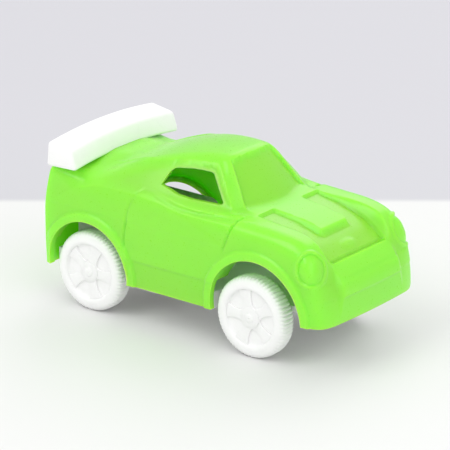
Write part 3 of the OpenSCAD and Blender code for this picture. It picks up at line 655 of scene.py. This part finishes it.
def spoke_star(s, width):
    """Outline of the raised star: broad arms that flare into the rim, with rounded bays between"""
    outline = []
    bays = s.spokes
    for k in range(bays):
        turn = math.tau * k / bays + math.pi / 2 + math.pi / bays
        for i in range(15):
            a = math.pi * (i / 14 - 0.5)
            r = 2.5 + (s.rim - 2.9) * (1 - math.cos(a) ** 0.9)
            spread = math.sin(a) * (math.pi / bays - width / s.rim * (0.62 + 0.25 * (1 - math.cos(a))))
            outline.append((r * math.cos(turn + spread), r * math.sin(turn + spread)))
        for half in (-width, width):
            a = turn + math.pi / bays + half / s.rim
            outline.append(((s.rim + 0.3) * math.cos(a), (s.rim + 0.3) * math.sin(a)))
    return outline


def wheel_mesh(s, radius, width):
    """A wheel that stands on Z = 0 with its outer face up"""
    face, back, rim = width, 0.0, s.rim
    floor = face - s.dish
    bm = bmesh.new()
    inside = [(0, back), (1.9, back), (2.2, 0.2), (2.3, 1.3), (rim - 0.5, 1.3), (rim - 0.1, 1.0), (rim, 0.4),
              (rim + 0.2, 0.1), (rim + 0.6, back), (7.3, back), (8.1, 0.12), (8.6, 0.4), (8.85, 0.75)]
    tread = [(radius, 1.1), (radius, 1.7), (radius, width / 2), (radius, width - 1.5),
             (radius - 0.04, width - 1.1), (8.8, width - 0.7), (8.45, width - 0.38), (7.9, width - 0.14)]
    dish = [(7.2, width - 0.02), (rim + 0.7, face), (rim + 0.3, face - 0.06), (rim + 0.05, face - 0.3),
            (rim, floor + 0.3), (rim - 0.25, floor + 0.05), (rim - 0.6, floor), (2.0, floor), (0, floor)]
    lathe(bm, inside + tread + dish, s.ribs * 6)
    tread_foot = 8.3
    for v in bm.verts:
        r = math.hypot(v.co.x, v.co.y)
        if r > tread_foot:
            phase = math.atan2(v.co.y, v.co.x) / math.tau * s.ribs % 1
            tooth = min(max(2.6 * abs(phase - 0.5) - 0.3, 0), 1)
            deep = s.rib_depth * tooth * min((r - tread_foot) / 0.45, 1)
            v.co.x -= v.co.x / r * deep
            v.co.y -= v.co.y / r * deep
    bmesh.ops.recalc_face_normals(bm, faces=bm.faces)
    star = bmesh.new()
    top = prism(star, spoke_star(s, width=1.9), floor - 0.2, floor + 0.4)
    crown = [e for e in star.edges if e.verts[0] in top and e.verts[1] in top]
    bmesh.ops.bevel(star, geom=crown, offset=0.18, offset_type="OFFSET", segments=3, profile=0.5,
                    affect="EDGES", clamp_overlap=True, material=-1)
    hub = bmesh.new()
    cap = [(0, 0), (2.35, 0), (2.35, 0.5), (2.15, 0.62), (1.1, 0.64), (0.95, 0.78), (0.7, 0.84), (0.2, 0.84),
           (0.16, 0.7), (0, 0.68)]
    lathe(hub, [(r, floor + h) for r, h in cap], 60)
    for extra in (star, hub):
        temp = bpy.data.meshes.new("part")
        extra.to_mesh(temp)
        extra.free()
        bm.from_mesh(temp)
        bpy.data.meshes.remove(temp)
    return bm


class CAR_OT_wheels(bpy.types.Operator):
    """Makes the four one-piece wheels with ribbed treads and spoked faces"""

    bl_idname = "car.wheels"
    bl_label = "Wheels"

    def execute(self, context):
        s = context.scene.car_wheels
        white = white_plastic("wheel_plastic", s.colour, 0.38)
        for end, body, turn in (("front", "front_wheels", 14), ("rear", "rear_wheels", -20)):
            for side in ("left", "right"):
                node = f"{end}_{side}_wheel"
                low, high = node_box(node)
                middle, width = (low + high) / 2, high[1] - low[1]
                bm = wheel_mesh(s, (high[2] - low[2]) / 2, width)
                bmesh.ops.rotate(bm, matrix=Matrix.Rotation(math.radians(turn), 3, "Z"), verts=bm.verts)
                facing = 90 if side == "right" else -90
                bmesh.ops.rotate(bm, matrix=Matrix.Rotation(math.radians(facing), 3, "X"), verts=bm.verts)
                inner_y = high[1] if side == "right" else low[1]
                bmesh.ops.translate(bm, vec=(middle[0], inner_y, middle[2]), verts=bm.verts)
                wheel = piece(f"{end}_{side}_ribbed_wheel", bm, white, 40)
                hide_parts(node)
                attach(wheel, body)
        return {"FINISHED"}


class CAR_OT_running_gear(bpy.types.Operator):
    """Gives the chassis, axles, screws and motor their finishes"""

    bl_idname = "car.running_gear"
    bl_label = "Running gear"

    def execute(self, context):
        white = white_plastic("chassis_plastic", context.scene.car_wheels.colour, 0.45)
        casing = white_plastic("motor_plastic", (0.8, 0.8, 0.77), 0.5)
        acetal = white_plastic("gear_plastic", (0.78, 0.76, 0.68), 0.35)
        bright = steel("axle_steel", (0.62, 0.63, 0.65), 0.22, (4.0, 0.2, 4.0))
        strip = steel("spring_steel", (0.3, 0.32, 0.35), 0.3, (3.0, 0.3, 3.0))
        turned = steel("turned_brass", (0.75, 0.52, 0.22), 0.25, (4.0, 0.3, 4.0))
        finishes = {
            "chassis": white, "chassis_screws": bright, "front_axle": bright, "rear_axle": bright,
            "motor_case": casing, "motor_cover": casing, "motor_screws": bright, "axle_pinion": turned,
            "clutch_gear": acetal, "reduction_gear": acetal, "spring_drum": acetal, "drum_lid": acetal,
            "clutch_pin": bright, "reduction_pin": bright, "drum_arbor": bright, "mainspring": strip}
        for name, finish in finishes.items():
            mesh = frame["nodes"][name].data
            mesh.materials.clear()
            mesh.materials.append(finish)
        return {"FINISHED"}


class CAR_OT_stage(bpy.types.Operator):
    """Sets the pale floor, the background, the lamps and the camera"""

    bl_idname = "car.stage"
    bl_label = "Stage"

    def execute(self, context):
        s = context.scene.car_stage
        camera_at = Vector((400.64, -512.99, 258.95)) * MM
        back = Vector((0.57949, -0.73905, 0.34350))
        camera = bpy.data.objects.new("camera", bpy.data.cameras.new("camera"))
        camera.data.lens = s.lens
        camera.data.sensor_width = 36.0
        camera.data.clip_start, camera.data.clip_end = 0.01, 20.0
        camera.location = camera_at
        camera.rotation_mode = "QUATERNION"
        camera.rotation_quaternion = (-back).to_track_quat("-Z", "Y")
        context.scene.collection.objects.link(camera)
        context.scene.camera = camera
        context.scene.view_settings.view_transform = "Standard"
        self.floor(s, back)
        self.background(context, s)
        self.lamps(context)
        return {"FINISHED"}

    def floor(self, s, back):
        """A wide floor whose far part carries the background's colour, for what the camera sees
        directly, in reflections and through other things"""
        bm = bmesh.new()
        bmesh.ops.create_grid(bm, x_segments=1, y_segments=1, size=3000)
        shade = Shader(bpy.data.materials.new("floor"))
        ahead = Vector((-back.x, -back.y, 0)).normalized()
        reach = shade.node(
            "ShaderNodeVectorMath", {"operation": "DOT_PRODUCT"}, {0: shade.place(), 1: ahead}, "Value")
        border = 74
        far = reach.above(border, 2)
        tint = shade.blend(far * shade.shown(), rgba(s.floor_colour), rgba(s.wall_colour))
        floor = piece("floor", bm, shade.principled({"Base Color": tint, "Roughness": 0.6}))

    def background(self, context, s):
        """White light for the surfaces, and the background's colour for the rays that show it"""
        sky = Shader(bpy.data.worlds.new("studio"), "ShaderNodeOutputWorld")
        ambient = sky.node("ShaderNodeBackground", {}, {"Color": rgba((1.0, 1.0, 1.0)), "Strength": 0.95})
        plain = sky.node("ShaderNodeBackground", {}, {"Color": rgba(s.wall_colour), "Strength": 1.0})
        context.scene.world = sky.show(
            sky.node("ShaderNodeMixShader", {}, {0: sky.shown(), 1: ambient, 2: plain}))

    def lamps(self, context):
        """Three large soft lamps round the car, turned towards it"""
        for name, place, size, power in (
                ("key", (-0.35, -0.75, 0.95), 0.7, 3.3),
                ("fill", (0.9, -0.35, 0.7), 0.9, 2.2),
                ("rear", (-0.3, 0.9, 0.8), 0.8, 2.4)):
            lamp = bpy.data.objects.new(name, bpy.data.lights.new(name, "AREA"))
            lamp.data.size = size
            lamp.data.energy = power
            lamp.location = place
            lamp.rotation_mode = "QUATERNION"
            lamp.rotation_quaternion = (-Vector(place)).to_track_quat("-Z", "Y")
            context.scene.collection.objects.link(lamp)


class CAR_PT_panel(bpy.types.Panel):
    """Lists the car's settings and the operators that build it"""

    bl_idname = "CAR_PT_panel"
    bl_label = "Pull back car"
    bl_space_type = "VIEW_3D"
    bl_region_type = "UI"
    bl_category = "Pull back car"

    def draw(self, context):
        for group in ("car_body", "car_wheels", "car_stage"):
            settings = getattr(context.scene, group)
            for name in settings.bl_rna.properties.keys():
                if name not in ("rna_type", "name"):
                    self.layout.prop(settings, name)
        for operator in OPERATORS:
            self.layout.operator(operator.bl_idname)


SETTINGS = {"car_body": BodySettings, "car_wheels": WheelSettings, "car_stage": StageSettings}
OPERATORS = (CAR_OT_body, CAR_OT_wing, CAR_OT_wheels, CAR_OT_running_gear, CAR_OT_stage)


def register():
    for name, group in SETTINGS.items():
        bpy.utils.register_class(group)
        setattr(bpy.types.Scene, name, bpy.props.PointerProperty(type=group))
    for part in OPERATORS + (CAR_PT_panel,):
        bpy.utils.register_class(part)


def unregister():
    for part in reversed(OPERATORS + (CAR_PT_panel,)):
        bpy.utils.unregister_class(part)
    for name, group in SETTINGS.items():
        delattr(bpy.types.Scene, name)
        bpy.utils.unregister_class(group)


def main():
    register()
    bpy.ops.car.body()
    bpy.ops.car.wing()
    bpy.ops.car.wheels()
    bpy.ops.car.running_gear()
    bpy.ops.car.stage()


if __name__ == "__main__":
    main()
